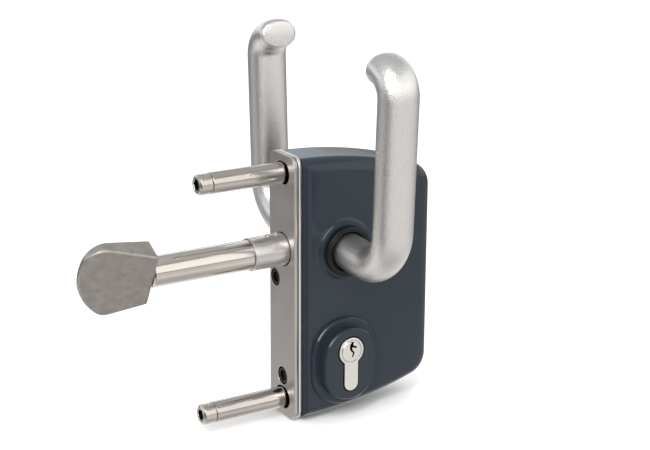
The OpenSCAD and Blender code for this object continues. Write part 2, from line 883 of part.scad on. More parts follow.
module cylinder_screw() {
    color([0.35, 0.35, 0.35]) translate([0, 0, cyl_screw_z]) sunk_screw(cyl_screw_r, cyl_screw_end);
}

module plate_screw() {
    color([0.40, 0.40, 0.40]) translate([0, plate_screw_y, plate_screw_z])
        sunk_screw(plate_screw_r, case_x + plate_screw_len);
}

module fixing_pins() {
    color([0.76, 0.73, 0.68]) both_ends() difference() {
        union() {
            along_x(pin_end, 0, pin_r);
            along_x(0, plate_t, pin_neck_r);
        }
        along_x(pin_end - past, pin_end + end_stub_len + thread_room, bolt_r);
        along_x(bolt_tip - thread_room, plate_t + past, bolt_r);
    }
}

module fixing_end_screws() {
    color([0.52, 0.50, 0.47]) both_ends() difference() {
        union() {
            along_x(-pin_len, pin_end, end_screw_r);
            along_x(pin_end, pin_end + end_stub_len, bolt_r);
        }
        hex_socket(-pin_len - past, hex_depth - pin_len);
    }
}

module fixing_bolts() {
    color([0.50, 0.50, 0.50]) both_ends() difference() {
        union() {
            along_x(bolt_tip, bolt_head_x, bolt_r);
            along_x(bolt_head_x, bolt_head_end, bolt_head_r);
        }
        hex_socket(bolt_head_end - hex_depth, bolt_head_end + past);
    }
}

module fixing_washers() {
    color([0.66, 0.66, 0.66]) both_ends() difference() {
        along_x(lug_x, lug_x + fixing_washer_t, washer_r);
        along_x(lug_x - past, lug_x + fixing_washer_t + past, bolt_r + slip);
    }
}

housing();
face_plate();
back_plate();
handle_bushes();
thrust_washers();
shaft_bearing();
handle_front();
handle_rear();
handle_grub_screws();
spindle();
follower();
locking_disc();
bolt_shaft();
bolt_gear();
gear_pin();
retaining_ring();
shaft_grub_screws();
bolt_rod();
bolt_head();
locking_slide();
cylinder_body();
plug_front();
plug_rear();
cylinder_cam();
key_pins();
driver_pins();
pin_springs();
cylinder_screw();
plate_screw();
fixing_pins();
fixing_end_screws();
fixing_bolts();
fixing_washers();
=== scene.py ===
import math

import bmesh
import bpy
from mathutils import Matrix, Vector


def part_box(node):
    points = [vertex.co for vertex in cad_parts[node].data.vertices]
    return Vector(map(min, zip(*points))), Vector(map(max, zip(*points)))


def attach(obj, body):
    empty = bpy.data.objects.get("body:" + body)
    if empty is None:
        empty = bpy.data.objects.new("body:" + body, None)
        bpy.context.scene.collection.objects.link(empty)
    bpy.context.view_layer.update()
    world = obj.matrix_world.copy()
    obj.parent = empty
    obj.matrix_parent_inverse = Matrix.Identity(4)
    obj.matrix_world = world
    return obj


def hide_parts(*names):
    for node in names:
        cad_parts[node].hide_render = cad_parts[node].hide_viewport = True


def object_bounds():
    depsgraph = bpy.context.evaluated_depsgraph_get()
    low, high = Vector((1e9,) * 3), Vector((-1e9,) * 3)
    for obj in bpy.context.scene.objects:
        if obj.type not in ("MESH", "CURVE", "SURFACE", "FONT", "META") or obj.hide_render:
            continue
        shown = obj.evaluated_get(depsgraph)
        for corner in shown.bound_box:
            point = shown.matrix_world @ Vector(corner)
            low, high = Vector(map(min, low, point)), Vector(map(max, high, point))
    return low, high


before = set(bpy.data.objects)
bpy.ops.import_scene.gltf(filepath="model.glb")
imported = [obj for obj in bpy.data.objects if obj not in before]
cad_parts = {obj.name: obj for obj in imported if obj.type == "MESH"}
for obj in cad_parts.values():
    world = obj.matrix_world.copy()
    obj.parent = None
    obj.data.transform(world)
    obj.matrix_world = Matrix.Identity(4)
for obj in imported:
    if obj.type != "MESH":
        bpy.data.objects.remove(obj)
CAD_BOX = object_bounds()

bl_info = {
    "name": "Gate lock box",
    "version": (1, 0, 0),
    "blender": (4, 5, 0),
    "location": "3D View > Sidebar > Lock box",
    "description": "Builds the visible pieces of a gate lock box round its solid frame",
    "category": "Object",
}

MM = 0.001
FINISHES = {}


# Places and sizes that the frame gives, in millimetres


def node_box(name):
    """Lowest and highest corner of a solid."""
    low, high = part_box(name)
    return low / MM, high / MM


PLATE_LOW, PLATE_HIGH = node_box("face_plate")
BUSH_LOW, BUSH_HIGH = node_box("handle_bushes")
SHAFT_LOW, SHAFT_HIGH = node_box("bolt_shaft")
ROD_LOW, ROD_HIGH = node_box("bolt_rod")
HEAD_LOW, HEAD_HIGH = node_box("bolt_head")
PIN_LOW, PIN_HIGH = node_box("fixing_pins")
END_LOW, END_HIGH = node_box("fixing_end_screws")
GRUB_LOW, GRUB_HIGH = node_box("shaft_grub_screws")

HANDLE_X = (BUSH_LOW.x + BUSH_HIGH.x) / 2
HANDLE_Z = (BUSH_LOW.z + BUSH_HIGH.z) / 2
SHAFT_R = (SHAFT_HIGH.y - SHAFT_LOW.y) / 2
ROD_R = (ROD_HIGH.y - ROD_LOW.y) / 2
PIN_R = (PIN_HIGH.y - PIN_LOW.y) / 2
END_R = (END_HIGH.y - END_LOW.y) / 2
PIN_PITCH = PIN_HIGH.z - PIN_LOW.z - 2 * PIN_R

# Sizes of the plates: half the width and half the height of each hole

SEAM = 0.25
PLATE_CORNER = 6.0
PLATE_HOLES = {
    "face_plate": {
        "shaft": (9.8, 9.8), "slot": (8.0, 6.3), "cylinder_screw": (5.3, 5.3), "plate_screw": (5.1, 5.1)},
    "back_plate": {
        "shaft": (10.6, 10.6), "slot": (6.4, 4.4), "cylinder_screw": (2.55, 2.55),
        "plate_screw": (3.05, 3.05)},
}

# Sizes of the handles

NECK_GAP = 0.3
NECK_DROP = 1.0
NECK_FLATNESS = 0.12
HANDLE_SPIGOT_R = 9.0
HANDLE_SPIGOT_LENGTH = 4.6
GRIP_LEAN = math.radians(2.6)
TIP_TURN = math.radians(88)
TIP_EDGE = 2.2
TIP_CROWN = 0.8
BAR_FULLNESS = 0.15

# Profile of a bush: place along the handle axis from the middle of the box, and radius

BUSH_PROFILE = (
    (15.5, 9.06), (15.5, 12.0), (20.5, 12.0), (20.5, 14.4), (24.2, 14.4), (24.2, 11.3), (22.1, 11.3),
    (22.1, 9.06), (15.5, 9.06),
)

# Sizes of the bolt: shaft, rod, grub screws and head

SOCKET_R = 6.0
SOCKET_DEPTH = 12.0
COLLAR_END = 2.2
SEAT_STEP = 0.6
SEAT_END = 15.0
GROOVE_R = 7.8
GROOVE_START = 13.3
GROOVE_END = 14.5
GEAR_SEAT_R = 4.5
FIT_GAP = 0.02
ROD_TENON_R = 4.0
ROD_CHAMFER = 1.0
ROD_SEAM_DEPTH = 0.5
GRUB_R = 2.0
GRUB_FOOT = 6.0
GRUB_PROUD = 0.4
GRUB_CHAMFER = 0.5
GRUB_DIMPLE_R = 0.95
GRUB_DIMPLE_TAPER = 0.1
GRUB_DIMPLE_DEPTH = 0.9
HEAD_TURN = math.radians(28)
HEAD_FLARE = math.radians(15.5)
HEAD_HEEL = 1.6
HEAD_MARGIN = 0.6

# Sizes of the fixing pins and their end screws

PIN_BORE_R = 4.0
PIN_BORE_INNER = 11.5
PIN_BORE_OUTER = 6.5
PIN_NECK_STEP = 0.3
THREAD_GAP = 0.05
HEX_R = 3.5
HEX_DEPTH = 4.0
HEX_FLARE = 0.25
HEX_FLARE_DEPTH = 0.3

# Sizes of the key cylinder: the keyway's outline is across and up from the plug's axis

CYLINDER_STEM_R = 5.0
CYLINDER_GAP = 0.45
CYLINDER_BEVEL = 0.4
PLUG_TONGUE_R = 3.5
PLUG_SHOULDER = 5.3
PLUG_EDGE = 0.45
KEYWAY_DEPTH = 14.0
KEYWAY = (
    (-0.9, 5.7), (-0.2, 4.9), (-1.2, 4.2), (-1.4, 1.8), (-0.5, 0.0), (0.4, -0.7), (0.7, -1.4),
    (-0.1, -3.4), (0.8, -3.6), (1.8, -1.3), (1.4, -0.3), (0.5, 0.6), (0.2, 1.6), (0.5, 2.5),
    (2.0, 1.6), (3.1, 1.5), (3.3, 2.4), (1.9, 3.0), (1.0, 3.4), (0.9, 4.5), (1.6, 5.6),
)

# Roundness: softened corners of turned pieces, points on a circle, sharp edges, points that are one

SOFT = {"bush": 1.35, "shaft": 0.4, "rod": 0.3, "grub": 0.2, "pin": 0.35, "end_screw": 0.3, "plug": 0.15}
FINE_ROUND = 128
ROUND = 96
BAR_ROUND = 72
SMALL_ROUND = 40
SHARP_ANGLE = math.radians(32)
BAR_SHARP_ANGLE = math.radians(50)
TINY = 1e-6

# Marks on faces: shaded flat, and given the dark finish that paints shade into recesses

FLAT = "flat_face"
PAINTED_SHADE_FACE = "dark_face"

# Stage, in metres: levels of the tent by height, and by turn from the back over the left and the front

WARM = (1.0, 0.988, 0.972)
COOL = (0.80, 0.91, 1.0)
TENT_R = 3.0
TENT_RISE = 0.03
TENT_GLOW = 2.4
TENT_BLEND = 2.5
TENT_FRONT = (
    (0.0, 0.22), (0.10, 0.24), (0.20, 0.34), (0.28, 0.43), (0.34, 0.335), (0.40, 0.35), (0.475, 0.35),
    (0.50, 0.08), (0.515, 0.08), (0.545, 0.72), (0.60, 0.64), (0.80, 0.60), (0.865, 0.54), (0.885, 0.07),
    (0.905, 0.22), (1.0, 0.26),
)
TENT_BACK = (
    (0.0, 0.42), (0.26, 0.44), (0.34, 0.26), (0.40, 0.10), (0.47, 0.08), (0.56, 0.34),
    (0.62, 0.86, COOL), (0.67, 0.86, COOL), (0.73, 0.26), (0.80, 0.22), (1.0, 0.26),
)
TENT_TURNS = (
    (0.0, 0.94), (0.07, 0.68), (0.11, 0.68), (0.16, 0.98), (0.23, 0.80), (0.295, 0.16), (0.35, 0.08),
    (0.415, 0.84), (0.48, 1.0), (0.57, 0.93), (0.62, 1.12), (0.68, 0.86), (0.78, 0.70), (0.90, 0.80),
    (1.0, 0.94),
)
FLOOR_REACH = 6.0
FLOOR_SHADE = (0.97, 0.97, 0.97, 1)
LAMPS = (
    ("key_light", "key", (-0.60, -0.85, 0.90), (1.0, 1.0)),
    ("strip_light", "strip", (-0.63, -0.77, 0.93), (1.15, 0.16)),
    ("fill_light", "fill", (0.80, -0.72, 0.10), (0.8, 0.8)),
    ("top_light", "fill", (0.1, 0.35, 1.0), (1.15, 1.15)),
)
MIRRORED_LAMP = "strip_light"
LAMP_AIM = Vector((0.02, 0, 0.02))
STRIP_RUN = Vector((0.67, 0.03, 0.91))
SENSOR_WIDTH = 36.0
CAMERA_PLACE = Vector((-435.4, -765.5, 306.5)) * MM
CAMERA_RIGHT = Vector((0.8561, -0.5168, 0.0045))
CAMERA_BACK = Vector((-0.4953, -0.8178, 0.2931))


# Settings


def length(name, description, value):
    """A size property in metres from a value in millimetres."""
    return bpy.props.FloatProperty(
        name=name, description=description, default=value * MM, min=0.0, subtype="DISTANCE", unit="LENGTH"
    )


def colour(name, description, value):
    """A colour property."""
    return bpy.props.FloatVectorProperty(
        name=name, description=description, default=value, size=3, min=0.0, max=1.0, subtype="COLOR"
    )


def power(name, description, value):
    """A lamp's power in watts."""
    return bpy.props.FloatProperty(name=name, description=description, default=value, min=0.0, unit="POWER")


class LockBoxSizes(bpy.types.PropertyGroup):
    """Sizes of the visible pieces"""

    plate_bevel: length("Plate bevel", "Broken edge of the two plates", 0.3)
    bar_width: length("Bar width", "Width of a handle's flat bar", 23.4)
    bar_thickness: length("Bar thickness", "Thickness of a handle's flat bar", 17.4)
    neck_diameter: length("Neck diameter", "Diameter of a handle's neck", 20.8)
    grip_reach: length("Grip reach", "Middle of the box to the foot of a grip", 66.8)
    grip_rise: length("Grip rise", "Handle axis to the top of a grip's centre line", 110.0)
    bend_radius: length("Bend radius", "Bend from the neck into the grip", 24.5)
    tip_radius: length("Tip radius", "Bend at the end of a grip", 14.0)
    head_thickness: length("Head thickness", "Thickness of the bolt head at the rod", 14.0)
    head_tip: length("Head tip", "Thickness of the bolt head at its tip", 4.0)
    head_base: length("Head base", "Width of the bolt head at the rod", 35.4)
    head_end: length("Head end", "Radius of the bolt head's round end", 39.0)
    head_rise: length("Head rise", "Height of the middle of that round end above the rod", 8.0)
    head_corner_top: length("Top corner", "Rounding of the bolt head's upper corner", 11.0)
    head_corner_low: length("Low corner", "Rounding of the bolt head's lower corner", 8.0)
    head_edge: length("Head edge", "Rounding along the edges of the bolt head", 1.2)


class LockBoxFinishes(bpy.types.PropertyGroup):
    """Colours of the finishes"""

    paint: colour("Box paint", "Powder coat of the box", (0.015, 0.0225, 0.031))
    plate: colour("Plates", "Brushed stainless plates", (0.56, 0.531, 0.515))
    handle: colour("Handles", "Satin anodised handles", (0.745, 0.733, 0.723))
    polished: colour("Polished steel", "Bolt rod and fixing pins", (0.665, 0.625, 0.587))
    satin: colour("Satin steel", "Bolt shaft", (0.65, 0.63, 0.61))
    cast: colour("Cast steel", "Bolt head", (0.45, 0.42, 0.392))
    nickel: colour("Nickel", "Key cylinder", (0.80, 0.78, 0.753))
    ring: colour("Bush", "Glossy black bushes", (0.006, 0.0066, 0.0075))
    bronze: colour("Bronze", "Bearings inside the box", (0.55, 0.36, 0.16))
    zinc: colour("Zinc", "Screws and inner steel pieces", (0.42, 0.42, 0.42))
    # Dark colour of sunk screws, and painted shade on hole walls, keyway and socket floors and the covered
    # plate front
    shade: colour("Shade", "Screws and walls deep in their holes", (0.06, 0.058, 0.055))


class LockBoxStage(bpy.types.PropertyGroup):
    """Camera and light"""

    lens: bpy.props.FloatProperty(name="Lens", description="Focal length", default=91.2, unit="CAMERA")
    floor_drop: length("Floor drop", "Room between the lock and the floor", 1.0)
    key: power("Key", "Power of the main light", 4.0)
    fill: power("Fill", "Power of the fill light and the top light", 3.0)
    strip: power("Strip", "Power of the narrow light that shows on glossy rims", 8.0)


def sizes():
    """The size properties in millimetres, by name."""
    props = bpy.context.scene.lock_box_sizes
    return {name: getattr(props, name) / MM for name in props.__annotations__}


# Outlines


def shares(count):
    """Even steps from 0 up to, but not at, 1."""
    return [i / count for i in range(count)]


def ease(share):
    """A share that starts and ends gently."""
    return share * share * (3 - 2 * share)


def round_rect(centre, half, radius, grow, steps=12):
    """Points round a rectangle with rounded corners, counter-clockwise; circles and slots too."""
    points = []
    for quarter in range(4):
        side_x = 1 if quarter in (0, 3) else -1
        side_y = 1 if quarter in (0, 1) else -1
        mid = (centre[0] + side_x * (half[0] - radius), centre[1] + side_y * (half[1] - radius))
        start = math.pi / 2 * quarter
        points += arc(mid, radius + grow, start, start + math.pi / 2, steps)
    return [p for p, before in zip(points, points[-1:] + points) if math.dist(p, before) > TINY]


def arc(mid, radius, start, end, steps):
    """Points along an arc between two angles."""
    turns = (start + (end - start) * i / steps for i in range(steps + 1))
    return [(mid[0] + radius * math.cos(a), mid[1] + radius * math.sin(a)) for a in turns]


def soften(profile, radius, steps=4):
    """A polyline whose inner corners are rounded by about the given radius."""
    most = 0.45
    out = [Vector(profile[0])]
    for before, corner, after in zip(profile, profile[1:], profile[2:]):
        a, b, c = Vector(before), Vector(corner), Vector(after)
        reach = min(radius, (a - b).length * most, (c - b).length * most)
        start = b + (a - b).normalized() * reach
        end = b + (c - b).normalized() * reach
        for i in range(steps + 1):
            t = i / steps
            out.append(start * (1 - t) ** 2 + b * 2 * t * (1 - t) + end * t * t)
    out.append(Vector(profile[-1]))
    return out


def head_outline(size, long, inset):
    """Outline of the bolt head, drawn in by an inset: flared sides, a round end and rounded corners."""
    radius, base = size["head_end"], size["head_base"] / 2
    heel_steps, corner_steps, end_steps = 6, 10, 40
    middle = Vector((long - radius, size["head_rise"]))
    turned = math.pi / 2 + HEAD_FLARE
    top, bottom = [], []
    for side, corner, points in ((1, size["head_corner_top"], top), (-1, size["head_corner_low"], bottom)):
        out = Vector((-math.sin(HEAD_FLARE), side * math.cos(HEAD_FLARE)))
        along = Vector((math.cos(HEAD_FLARE), side * math.sin(HEAD_FLARE)))
        start = Vector((0, side * base)) - corner * out - middle
        lead = start.dot(along)
        run = math.sqrt(lead * lead - start.dot(start) + (radius - corner) ** 2) - lead
        reach = start + run * along
        rise = HEAD_HEEL * math.tan(HEAD_FLARE) - HEAD_HEEL / math.cos(HEAD_FLARE)
        heel = (HEAD_HEEL, side * (base + rise))
        points += arc(heel, HEAD_HEEL - inset, side * math.pi, side * turned, heel_steps)
        towards = math.atan2(reach.y, reach.x)
        points += arc(middle + reach, corner - inset, side * turned, towards, corner_steps)
    first = math.atan2(top[-1][1] - middle.y, top[-1][0] - middle.x)
    last = math.atan2(bottom[-1][1] - middle.y, bottom[-1][0] - middle.x)
    return top + arc(middle, radius - inset, first, last, end_steps)[1:-1] + bottom[::-1]


# Mesh building


def add_ring(bm, points):
    """Mesh points along a closed line."""
    return [bm.verts.new(p) for p in points]


def bridge(bm, first, second):
    """Quads between two rings of as many points."""
    count = len(first)
    after = [(i + 1) % count for i in range(count)]
    return [bm.faces.new((first[i], first[j], second[j], second[i])) for i, j in enumerate(after)]


def fill(bm, rings):
    """Flat triangles inside the first ring and outside the others."""
    edges = []
    for ring in rings:
        for i, vert in enumerate(ring):
            after = ring[(i + 1) % len(ring)]
            edges.append(bm.edges.get((vert, after)) or bm.edges.new((vert, after)))
    flat = bm.faces.layers.int.get(FLAT) or bm.faces.layers.int.new(FLAT)
    made = bmesh.ops.triangle_fill(bm, edges=edges, use_beauty=True)["geom"]
    faces = [item for item in made if isinstance(item, bmesh.types.BMFace)]
    for face in faces:
        face[flat] = 1
    return faces


def lathe(bm, profile, place, segments=ROUND):
    """A turned solid from points of place along the axis and radius; the axis is local X."""
    rings = []
    for along, radius in profile:
        if radius < TINY:
            rings.append([bm.verts.new(place @ Vector((along, 0, 0)))])
            continue
        turns = (2 * math.pi * i / segments for i in range(segments))
        spokes = [Vector((along, radius * math.cos(t), radius * math.sin(t))) for t in turns]
        rings.append(add_ring(bm, [place @ spoke for spoke in spokes]))
    for first, second in zip(rings, rings[1:]):
        if len(first) == 1 and len(second) == 1:
            continue
        if len(first) == 1 or len(second) == 1:
            pole, ring = (first[0], second) if len(first) == 1 else (second[0], first)
            for i, vert in enumerate(ring):
                bm.faces.new((pole, vert, ring[(i + 1) % segments]))
        else:
            bridge(bm, first, second)
    return rings


def finish_mesh(bm, name, sharp):
    """Closes a mesh that was drawn in millimetres and shades it."""
    merge, sliver = 1e-4, 1e-5
    bmesh.ops.remove_doubles(bm, verts=bm.verts, dist=merge)
    bmesh.ops.dissolve_degenerate(bm, edges=bm.edges, dist=sliver)
    bmesh.ops.recalc_face_normals(bm, faces=bm.faces)
    bmesh.ops.scale(bm, vec=(MM, MM, MM), verts=bm.verts)
    flat = bm.faces.layers.int.get(FLAT)
    for face in bm.faces:
        face.smooth = not (flat and face[flat])
    for edge in bm.edges:
        edge.smooth = not edge.is_manifold or edge.calc_face_angle(0.0) < sharp
    if flat:
        bm.faces.layers.int.remove(flat)
    mesh = bpy.data.meshes.new(name)
    bm.to_mesh(mesh)
    bm.free()
    return mesh


# Finishes


class NodeSheet:
    """Short calls that add and join the nodes of one material."""

    def __init__(self, name):
        self.material = bpy.data.materials.new(name)
        self.material.use_nodes = True
        self.tree = self.material.node_tree
        self.tree.nodes.clear()

    def add(self, kind, inputs=(), **settings):
        """A new node with values for some of its inputs and settings."""
        made = self.tree.nodes.new(kind)
        for key, value in settings.items():
            setattr(made, key, value)
        for key, value in dict(inputs).items():
            made.inputs[key].default_value = value
        return made

    def join(self, source, node, name):
        """Feeds a result to an input of a node."""
        self.tree.links.new(source, node.inputs[name])

    def coords(self):
        """Object coordinates."""
        return self.add("ShaderNodeTexCoord").outputs["Object"]

    def noise(self, coords, scale, detail, stretch=(1, 1, 1)):
        """Noise on coordinates, drawn out along an axis by stretch."""
        mapping = self.add("ShaderNodeMapping", {"Scale": stretch})
        self.join(coords, mapping, "Vector")
        made = self.add("ShaderNodeTexNoise", {"Scale": scale, "Detail": detail})
        self.join(mapping.outputs["Vector"], made, "Vector")
        return made.outputs["Fac"]

    def span(self, source, low, high, start=0.3, end=0.7):
        """Spreads a value between two limits."""
        limits = {"From Min": start, "From Max": end, "To Min": low, "To Max": high}
        made = self.add("ShaderNodeMapRange", limits)
        self.join(source, made, "Value")
        return made.outputs["Result"]

    def ramp(self, source, stops):
        """Greys between stops of place, level and, for a coloured stop, its tint."""
        made = self.add("ShaderNodeValToRGB")
        made.color_ramp.interpolation = "EASE"
        for stop in stops[1:-1]:
            made.color_ramp.elements.new(stop[0])
        for element, (place, level, *cast) in zip(made.color_ramp.elements, stops):
            element.position = place
            element.color = tint(cast[0] if cast else WARM, level)
        self.join(source, made, "Fac")
        return made.outputs["Color"]

    def math(self, operation, *values):
        """Arithmetic on results and constants."""
        made = self.add("ShaderNodeMath", operation=operation)
        for slot, value in enumerate(values):
            if isinstance(value, (int, float)):
                made.inputs[slot].default_value = value
            else:
                self.join(value, made, slot)
        return made.outputs["Value"]

    def mix(self, factor, first, second, blend="MIX"):
        """A blend of two colours, each a result or a constant."""
        made = self.add("ShaderNodeMix", data_type="RGBA", blend_type=blend)
        self.join(factor, made, "Factor")
        for name, value in (("A", first), ("B", second)):
            if isinstance(value, tuple):
                made.inputs[name].default_value = value
            else:
                self.join(value, made, name)
        return made.outputs["Result"]

    def close(self, shading):
        """Ends the material with its surface."""
        self.join(shading, self.add("ShaderNodeOutputMaterial"), "Surface")
        return self.material


def tint(rgb, factor):
    """A colour made lighter or darker, with full cover."""
    return (*[min(1.0, c * factor) for c in rgb], 1.0)


def surface(name, rgb, roughness, depth, metallic=1.0, spread=0.06, grain=900.0, stretch=(1, 1, 1),
            bevel=0.25, wear=0.3, wear_tint=1.5, mottle=0.06, blotch=70.0, coat=0.0, specular=0.5):
    """One finish: mottled colour, uneven gloss, a fine grain and worn, softened edges."""
    streak_share, wear_gloss = 0.6, 0.12
    sheet = NodeSheet(name)
    coords = sheet.coords()
    shader = sheet.add("ShaderNodeBsdfPrincipled", {
        "Metallic": metallic, "Specular IOR Level": specular, "Coat Weight": coat, "Coat Roughness": 0.12})

    edge = sheet.add("ShaderNodeBevel", {"Radius": bevel * MM}, samples=6)
    face = sheet.add("ShaderNodeNewGeometry")
    dot = sheet.add("ShaderNodeVectorMath", operation="DOT_PRODUCT")
    sheet.join(edge.outputs["Normal"], dot, 0)
    sheet.join(face.outputs["Normal"], dot, 1)
    rim = sheet.span(dot.outputs["Value"], low=1.0, high=0.0, start=0.80, end=0.995)

    broad = sheet.noise(coords, blotch, detail=4.0)
    fine = sheet.noise(coords, grain, detail=5.0, stretch=stretch)
    patchy = sheet.math("MULTIPLY", rim, sheet.span(broad, low=0.35, high=1.0))
    worn = sheet.math("MULTIPLY", patchy, wear)

    mottled = sheet.mix(broad, tint(rgb, 1 - mottle), tint(rgb, 1 + mottle))
    sheet.join(sheet.mix(worn, mottled, tint(rgb, wear_tint)), shader, "Base Color")

    gloss = sheet.span(broad, roughness - spread, roughness + spread)
    streak = sheet.span(fine, -spread * streak_share, spread * streak_share)
    uneven = sheet.math("ADD", gloss, streak)
    rubbed = sheet.math("SUBTRACT", uneven, sheet.math("MULTIPLY", worn, wear_gloss))
    sheet.join(rubbed, shader, "Roughness")

    bump = sheet.add("ShaderNodeBump", {"Strength": 1.0, "Distance": depth * MM})
    sheet.join(fine, bump, "Height")
    sheet.join(edge.outputs["Normal"], bump, "Normal")
    sheet.join(bump.outputs["Normal"], shader, "Normal")
    return sheet.close(shader.outputs["BSDF"])


def finish_for(name):
    """The named finish, made once."""
    if name in FINISHES:
        return FINISHES[name]
    look = bpy.context.scene.lock_box_finishes
    turned = dict(depth=0.001, stretch=(6, 0.3, 0.3), wear=0.4)
    recipes = {
        "box_powder_coat": dict(
            rgb=look.paint, metallic=0.0, roughness=0.34, spread=0.05, grain=1100.0, depth=0.008, bevel=0.7,
            wear=0.10, wear_tint=2.2, mottle=0.05, coat=0.4, specular=0.15),
        "brushed_plate": dict(
            rgb=look.plate, roughness=0.40, grain=420.0, depth=0.006, stretch=(4, 4, 0.12), bevel=0.08,
            wear=0.6),
        # The back plate's outer walls: the plate steel made 1.5 times lighter, a painted highlight on that
        # strip
        "plate_edge": dict(
            rgb=tint(look.plate, 1.5)[:3], roughness=0.40, grain=700.0, depth=0.004, stretch=(4, 1, 0.12),
            bevel=0.08, wear=0.4, wear_tint=1.2),
        "satin_handle": dict(
            rgb=look.handle, roughness=0.36, spread=0.04, grain=1100.0, depth=0.22, wear=0.1,
            wear_tint=1.15, mottle=0.17, blotch=1300.0),
        "rod_polish": dict(
            turned, rgb=look.polished, roughness=0.15, spread=0.04, grain=600.0, wear_tint=1.3),
        # The pins: the rod's polished steel made darker by 0.85, painted shade
        "pin_polish": dict(
            turned, rgb=tint(look.polished, 0.85)[:3], roughness=0.16, spread=0.04, grain=600.0,
            wear_tint=1.3),
        "end_screw_finish": dict(
            rgb=tint(look.polished, 0.9)[:3], roughness=0.27, spread=0.05, grain=1400.0, depth=0.012,
            bevel=0.15, wear=0.5, wear_tint=1.3, mottle=0.14, blotch=400.0),
        "turned_steel": dict(
            turned, rgb=look.satin, roughness=0.30, spread=0.03, grain=500.0, bevel=0.1, wear_tint=1.4),
        "head_casting": dict(
            rgb=look.cast, roughness=0.47, grain=1500.0, depth=0.020, bevel=0.8, wear=0.8,
            wear_tint=1.8, mottle=0.28, blotch=220.0),
        "nickel_plate": dict(
            rgb=look.nickel, roughness=0.24, spread=0.05, depth=0.003, stretch=(1, 1, 0.2), wear=0.9,
            wear_tint=1.35),
        "black_bush": dict(
            rgb=look.ring, metallic=0.0, roughness=0.20, spread=0.03, depth=0.0008, bevel=0.1,
            wear=0.08, wear_tint=3.0, specular=0.24),
        "plain_bronze": dict(rgb=look.bronze, roughness=0.38, depth=0.006),
        # Dark screws, and painted shade on hole walls, keyway and socket floors and the covered plate front
        "dark_screw": dict(rgb=look.shade, roughness=0.42, depth=0.005),
        "zinc_steel": dict(rgb=look.zinc, roughness=0.36, depth=0.005),
    }
    FINISHES[name] = surface(name, **recipes[name])
    return FINISHES[name]


# Objects in the scene


def put(name, data):
    """A new object in the scene."""
    made = bpy.data.objects.new(name, data)
    bpy.context.scene.collection.objects.link(made)
    return made


def place_piece(piece, body, node):
    """Puts a piece on its body, in place of a solid."""
    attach(piece, body)
    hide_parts(node)


def add_piece(node, ending, bm, body, *finishes, sharp=SHARP_ANGLE):
    """Makes a drawn mesh the piece that replaces a solid, with its finishes in order."""
    mesh = finish_mesh(bm, node, sharp)
    for finish in finishes:
        mesh.materials.append(finish_for(finish))
    place_piece(put(node + "_" + ending, mesh), body, node)


# Pairs of like pieces by a node group


def row_tree():
    """A geometry node tree that repeats a piece in a row and gives its finish to all but the faces marked for
    painted shade.
    """
    name = "piece_row"
    tree = bpy.data.node_groups.get(name)
    if tree:
        return tree
    tree = bpy.data.node_groups.new(name, "GeometryNodeTree")
    kinds = {"Geometry": "Geometry", "Count": "Int", "Step": "Vector", "Material": "Material"}
    for label, kind in kinds.items():
        tree.interface.new_socket(label, in_out="INPUT", socket_type="NodeSocket" + kind)
    tree.interface.new_socket("Geometry", in_out="OUTPUT", socket_type="NodeSocketGeometry")
    source = tree.nodes.new("NodeGroupInput")
    line = tree.nodes.new("GeometryNodeMeshLine")
    line.mode = "OFFSET"
    copies = tree.nodes.new("GeometryNodeInstanceOnPoints")
    real = tree.nodes.new("GeometryNodeRealizeInstances")
    painted_shade = tree.nodes.new("GeometryNodeInputNamedAttribute")
    painted_shade.data_type = "INT"
    painted_shade.inputs["Name"].default_value = PAINTED_SHADE_FACE
    plain = tree.nodes.new("FunctionNodeBooleanMath")
    plain.operation = "NOT"
    paint = tree.nodes.new("GeometryNodeSetMaterial")
    out = tree.nodes.new("NodeGroupOutput")
    for giver, result, taker, entry in (
        (painted_shade, "Attribute", plain, 0),
        (plain, "Boolean", paint, "Selection"),
        (source, "Count", line, "Count"),
        (source, "Step", line, "Offset"),
        (line, "Mesh", copies, "Points"),
        (source, "Geometry", copies, "Instance"),
        (copies, "Instances", real, "Geometry"),
        (real, "Geometry", paint, "Geometry"),
        (source, "Material", paint, "Material"),
        (paint, "Geometry", out, "Geometry"),
    ):
        tree.links.new(giver.outputs[result], taker.inputs[entry])
    return tree


def add_pair(node, bm, step, body, finish, painted_shade=None):
    """Makes a drawn mesh and its copy, a step in millimetres away, the piece that replaces a solid."""
    name = node + "_pair"
    mesh = finish_mesh(bm, node, SHARP_ANGLE)
    # The second finish paints shade on the faces marked for it
    if painted_shade:
        mesh.materials.append(finish_for(painted_shade))
    piece = put(name, mesh)
    tree = row_tree()
    modifier = piece.modifiers.new("row", "NODES")
    modifier.node_group = tree
    values = {"Count": 2, "Step": tuple(v * MM for v in step), "Material": finish_for(finish)}
    for socket in tree.interface.items_tree:
        if socket.in_out == "INPUT" and socket.name in values:
            modifier[socket.identifier] = values[socket.name]
    bpy.context.view_layer.update()
    evaluated = piece.evaluated_get(bpy.context.evaluated_depsgraph_get())
    real = bpy.data.meshes.new_from_object(evaluated)
    real.name = name
    piece.modifiers.remove(modifier)
    piece.data = real
    bpy.data.meshes.remove(mesh)
    place_piece(piece, body, node)


# Pieces


